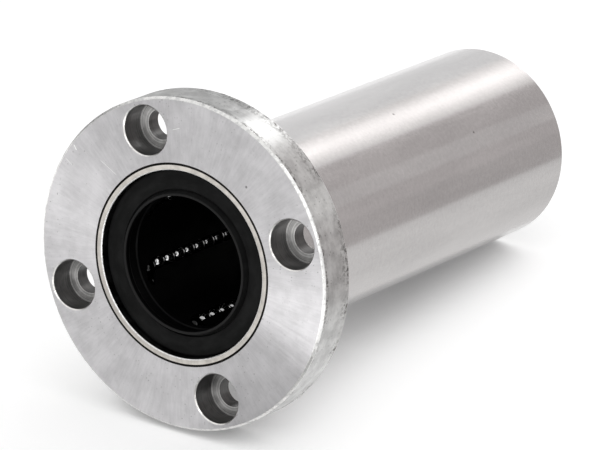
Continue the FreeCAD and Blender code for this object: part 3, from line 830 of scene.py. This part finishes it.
def stand_at(place, back, upright):
    """The place of a thing whose own Z points along back, turned so that its own Y points up."""
    right = upright.cross(back).normalized()
    up = back.cross(right)
    return Matrix.Translation(place) @ Matrix((right, up, back)).transposed().to_4x4()


def lay_plane(name, material, place, faces, wide, high, upright=UP):
    """A flat stage piece that faces along a unit vector."""
    bm = bmesh.new()
    bmesh.ops.create_grid(bm, x_segments=1, y_segments=1, size=0.5)
    piece = new_piece(name, bm, [material])
    piece.matrix_world = stand_at(place, faces, upright) @ Matrix.Diagonal((wide, high, 1.0, 1.0))
    return piece


def floor_finish(stage):
    """Pale matt floor that keeps its shadows, with a glow whose fall near the bearing is a painted contact
    shadow, and that can't be seen from below.
    """
    finish = Finish("floor_pale")
    shade_samples = 48
    shut, open_enough = 0.10, 0.55
    tail_start = 40.0 * MM
    front_start, front_full = 5.0 * MM, -12.0 * MM
    tone = finish.vary(finish.grain(3.0), 0.99, 1.01)
    pale = finish.shade(stage.floor_colour, tone)
    matt = finish.node("BsdfDiffuse", {"Color": pale}).outputs[0]
    openness = finish.node(
        "AmbientOcclusion", {"Distance": stage.contact}, samples=shade_samples).outputs["AO"]
    geometry = finish.node("NewGeometry").outputs
    along = finish.split(geometry["Position"])[1]
    behind = finish.ramp(along, tail_start, TAIL, 0.0, stage.tail_lift)
    before = finish.ramp(along, front_start, front_full, 0.0, stage.front_lift)
    least = finish.maths("ADD", behind, before)
    # Painted contact shadow: the glow fades where the bearing is near, down to what is left under the tail
    # and in front of the flange
    lift = finish.ramp(openness, shut, open_enough, least, stage.floor_lift)
    lift = finish.times(finish.seen_rays(), lift)
    glow = finish.node("Emission", {"Strength": lift}).outputs[0]
    top = finish.node("AddShader", {0: matt, 1: glow}).outputs[0]
    clear = finish.node("BsdfTransparent").outputs[0]
    return finish.show(finish.node("MixShader", {0: geometry["Backfacing"], 1: top, 2: clear}))


def card_finish(name, glow, strength=1.0):
    """A studio card of one colour."""
    finish = Finish(name)
    return finish.show(finish.node("Emission", {"Color": glow, "Strength": strength}))


def graded_finish(name, glow, strength):
    """A studio card that is white along its two sides and brightest along its middle."""
    finish = Finish(name)
    across = finish.maths("ABSOLUTE", finish.split(finish.place)[0])
    grade = finish.ramp(across, 0.5, 0.0, 1.0, strength)
    return finish.show(finish.node("Emission", {"Color": glow, "Strength": grade}))


def only_in_reflections(card):
    """The card shows in the steel, and neither lights nor shades anything."""
    for ray in ("camera", "diffuse", "shadow", "transmission"):
        setattr(card, "visible_" + ray, False)


def hang_card(name, glow, place, faces, wide, high, upright=UP, strength=1.0):
    """A flat card of one colour that only shows in reflections."""
    material = card_finish(name, glow, strength)
    only_in_reflections(lay_plane(name, material, Vector(place), faces, wide, high, upright))


def hang_band(name, glow, pairs, strength=1.0):
    """A card of one colour that runs through pairs of points and only shows in reflections."""
    bm = bmesh.new()
    posts = [[bm.verts.new(place) for place in pair] for pair in pairs]
    for post, following in zip(posts, posts[1:]):
        bm.faces.new((post[0], following[0], following[1], post[1]))
    band = new_piece(name, bm, [card_finish(name, glow, strength)])
    only_in_reflections(band)


def sweep(start, stop, steps=24):
    """Angles in radians from one to another, given in degrees."""
    return [math.radians(start + (stop - start) * step / steps) for step in range(steps + 1)]


def hang_wall(name, glow, middle, start, stop, top):
    """A curved upright card round a point, from one angle to another and up to a height."""
    reach, bottom = 1.3, 0.02
    pairs = []
    for turn in sweep(start, stop):
        foot = middle + Vector((reach * math.cos(turn), reach * math.sin(turn), 0.0))
        pairs.append([foot + UP * height for height in (bottom, top)])
    hang_band(name, glow, pairs)


def hang_arc(name, glow, along, inner, outer, start, stop, strength=1.0):
    """A flat card shaped as part of a ring about the bore's axis, from one angle to another."""
    pairs = [[spoke(reach, turn, along) for reach in (inner, outer)] for turn in sweep(start, stop)]
    hang_band(name, glow, pairs, strength)


def light_world(stage):
    """White surroundings that light matt surfaces from above more than from the sides."""
    world = bpy.data.worlds.new("white_surroundings")
    world.use_nodes = True
    sky = NodeTree(world.node_tree)
    background = sky.tree.nodes["Background"]
    background.inputs["Color"].default_value = (*WHITE, 1.0)
    x, _, z = sky.split(sky.node("TexCoord").outputs["Generated"])
    height = sky.maths("MAXIMUM", z, 0.0)
    lit = sky.maths("MULTIPLY_ADD", sky.maths("POWER", height, 2.0), stage.top_light, stage.side_light)
    lit = sky.times(lit, sky.maths("MULTIPLY_ADD", x, stage.light_lean, 1.0))
    seen = sky.seen_rays()
    hidden = sky.times(lit, sky.maths("SUBTRACT", 1.0, seen))
    sky.tree.links.new(sky.maths("ADD", seen, hidden), background.inputs["Strength"])
    bpy.context.scene.world = world


def hang_softbox(stage, place, aim, wide, high):
    """A rectangular softbox: a lamp for the light and a graded card for its reflection."""
    light = bpy.data.lights.new("softbox", "AREA")
    light.shape = "RECTANGLE"
    light.size = wide
    light.size_y = high
    light.color = stage.softbox_colour
    light.energy = stage.softbox * math.pi * wide * high * stage.softbox_lamp
    softbox = new_object("softbox", light)
    softbox.visible_camera = False
    softbox.visible_glossy = False
    faces = (aim - place).normalized()
    softbox.matrix_world = stand_at(place, -faces, UP)
    front = graded_finish("softbox_front", stage.softbox_colour, stage.softbox)
    only_in_reflections(lay_plane("softbox_front", front, place, faces, wide, high))


def hang_side_cards(stage, foot, normal):
    """What the sleeve's right side shows: upright cards, and the floor's shade beside them."""
    cards = {
        "side_card": ((0.060, 0.20, 0.093), 0.42, 0.214),
        "side_glow": ((0.0595, 0.028, 0.042), 0.056, 0.026),
        "side_streak": ((0.0595, 0.14, 0.042), 0.16, 0.026),
        "side_foot": ((0.0595, 0.20, -0.001), 0.42, 0.026),
    }
    for name, (place, wide, high) in cards.items():
        hang_card(name, getattr(stage, name), place, LEFT, wide, high)
    hang_card(
        "floor_shade", stage.floor_shade, place=foot + Vector((0.082, 0.23, 0.0305)), faces=normal,
        wide=0.136, high=0.42, upright=AHEAD)


def hang_bright_cards(stage, normal):
    """Bright cards in front, which make the highlights of the flange's face, rim and edges."""
    hang_card(
        "left_card", WHITE, place=(-0.16, -0.065, -0.022), faces=-LEFT, wide=0.19, high=0.032,
        strength=stage.left_card)
    hang_card(
        "right_card", WHITE, place=(0.08, -0.135, -0.05), faces=normal, wide=0.13, high=0.16,
        upright=AHEAD, strength=stage.right_card)
    strip_way = Vector((0.67, -0.60, 0.42)).normalized()
    strip_reach = 1.0919
    hang_card(
        "strip", WHITE, place=strip_way * strip_reach, faces=-strip_way, wide=0.27, high=1.1415,
        strength=stage.strip)


def hang_back_cards(stage):
    """Parts of rings behind the flange and the sleeve."""
    hang_arc(
        "back_glow", WHITE, along=0.075, inner=0.08, outer=0.15, start=75.0, stop=97.0,
        strength=stage.back_glow)
    hang_arc("back_card", stage.back_card, along=0.075, inner=0.075, outer=0.15, start=98.0, stop=190.0)
    hang_arc("top_card", stage.top_card, along=0.6, inner=0.25, outer=0.7, start=121.0, stop=173.0)


def lay_foot_cards(stage, foot, normal):
    """Dark cards just over the floor, in front of the flange and on its left."""
    cards = {
        "foot_card": ((0.034, -0.039, -0.004), 0.06, 0.05),
        "left_foot_card": ((-0.062, -0.084, -0.0098), 0.05, 0.055),
    }
    for name, (shift, wide, high) in cards.items():
        hang_card(name, stage.foot_card, foot + Vector(shift), normal, wide, high, upright=AHEAD)


def hang_walls(stage, middle):
    """Walls round the bearing: dark on the left and on the right in front, grey behind the camera."""
    hang_wall("left_wall", stage.dark_wall, middle, start=165.0, stop=229.0, top=0.5)
    hang_wall("camera_wall", stage.grey_wall, middle, start=229.0, stop=300.0, top=0.6)
    hang_wall("right_wall", stage.dark_wall, middle, start=300.0, stop=350.0, top=0.6)


def stand_camera(stage, floor_normal):
    """The camera, upright over the floor."""
    lens = bpy.data.cameras.new("photo_camera")
    lens.sensor_width = 36.0
    lens.lens = stage.lens
    lens.clip_end = 100.0
    camera = new_object("photo_camera", lens)
    place = Vector(stage.camera_place)
    back = (place - Vector(stage.camera_aim)).normalized()
    camera.matrix_world = stand_at(place, back, floor_normal)
    bpy.context.scene.camera = camera


def set_stage(shape, stage):
    """Floor, surroundings, softbox, cards and camera."""
    foot, normal = floor_frame(shape)
    middle = AHEAD * ((FRONT + TAIL) / 2)
    lay_plane("floor", floor_finish(stage), foot, normal, stage.floor_size, stage.floor_size, upright=AHEAD)
    light_world(stage)
    hang_softbox(stage, place=middle + Vector((-0.036, 0.48, 0.36)), aim=middle, wide=0.26, high=0.62)
    hang_side_cards(stage, foot, normal)
    hang_bright_cards(stage, normal)
    hang_back_cards(stage)
    lay_foot_cards(stage, foot, normal)
    hang_walls(stage, middle)
    stand_camera(stage, normal)
    bpy.context.scene.view_settings.view_transform = "Standard"


class BEARING_OT_flange(bpy.types.Operator):
    """Turn the flange with its bolt holes, and finish its steel"""
    bl_idname = "bearing.flange"
    bl_label = "Flange"

    def execute(self, context):
        flange = make_flange(context.scene.bearing_shape, context.scene.bearing_finish)
        stand_for(flange, "flange")
        return {"FINISHED"}


class BEARING_OT_sleeve(bpy.types.Operator):
    """Turn the outer sleeve with its raceway lands, and finish its steel"""
    bl_idname = "bearing.sleeve"
    bl_label = "Outer sleeve"

    def execute(self, context):
        sleeve = make_sleeve(context.scene.bearing_shape, context.scene.bearing_finish)
        stand_for(sleeve, "outer_sleeve")
        return {"FINISHED"}


class BEARING_OT_seals(bpy.types.Operator):
    """Finish the two rubber seals"""
    bl_idname = "bearing.seals"
    bl_label = "Seals"

    def execute(self, context):
        paint_nodes(["front_seal", "rear_seal"], rubber_finish(context.scene.bearing_finish))
        return {"FINISHED"}


class BEARING_OT_retainers(bpy.types.Operator):
    """Finish the two plastic ball retainers"""
    bl_idname = "bearing.retainers"
    bl_label = "Retainers"

    def execute(self, context):
        paint_nodes(["front_retainer", "rear_retainer"], plastic_finish(context.scene.bearing_finish))
        return {"FINISHED"}


class BEARING_OT_balls(bpy.types.Operator):
    """Polish the balls of every circuit"""
    bl_idname = "bearing.balls"
    bl_label = "Balls"

    def execute(self, context):
        look = context.scene.bearing_finish
        paint_nodes(ROWS, ball_finish("ball_polished", look.ball_steel))
        # Painted shade: the balls in the turns get a nearly black steel in place of the shade round them
        paint_nodes(TURNS, ball_finish("ball_painted_shade", look.shaded_turn_steel))
        return {"FINISHED"}


class BEARING_OT_stage(bpy.types.Operator):
    """Set the floor, the light and the camera"""
    bl_idname = "bearing.stage"
    bl_label = "Stage"

    def execute(self, context):
        set_stage(context.scene.bearing_shape, context.scene.bearing_stage)
        return {"FINISHED"}


OPERATORS = (
    BEARING_OT_flange,
    BEARING_OT_sleeve,
    BEARING_OT_seals,
    BEARING_OT_retainers,
    BEARING_OT_balls,
    BEARING_OT_stage,
)


class BEARING_PT_pieces(bpy.types.Panel):
    """Buttons that make the pieces of the bearing, and their settings"""
    bl_idname = "BEARING_PT_pieces"
    bl_label = "Flanged linear bearing"
    bl_space_type = "VIEW_3D"
    bl_region_type = "UI"
    bl_category = "Bearing"

    def draw(self, context):
        for operator in OPERATORS:
            self.layout.operator(operator.bl_idname)
        scene = context.scene
        for group in (scene.bearing_shape, scene.bearing_finish, scene.bearing_stage):
            box = self.layout.box()
            for name in group.bl_rna.properties.keys():
                if name not in ("rna_type", "name"):
                    box.prop(group, name)


CLASSES = (BearingShape, BearingFinish, BearingStage, *OPERATORS, BEARING_PT_pieces)


def register():
    for item in CLASSES:
        bpy.utils.register_class(item)
    bpy.types.Scene.bearing_shape = PointerProperty(type=BearingShape)
    bpy.types.Scene.bearing_finish = PointerProperty(type=BearingFinish)
    bpy.types.Scene.bearing_stage = PointerProperty(type=BearingStage)


def unregister():
    del bpy.types.Scene.bearing_stage
    del bpy.types.Scene.bearing_finish
    del bpy.types.Scene.bearing_shape
    for item in reversed(CLASSES):
        bpy.utils.unregister_class(item)


def main():
    register()
    bpy.ops.bearing.flange()
    bpy.ops.bearing.sleeve()
    bpy.ops.bearing.seals()
    bpy.ops.bearing.retainers()
    bpy.ops.bearing.balls()
    bpy.ops.bearing.stage()


if __name__ == "__main__":
    main()
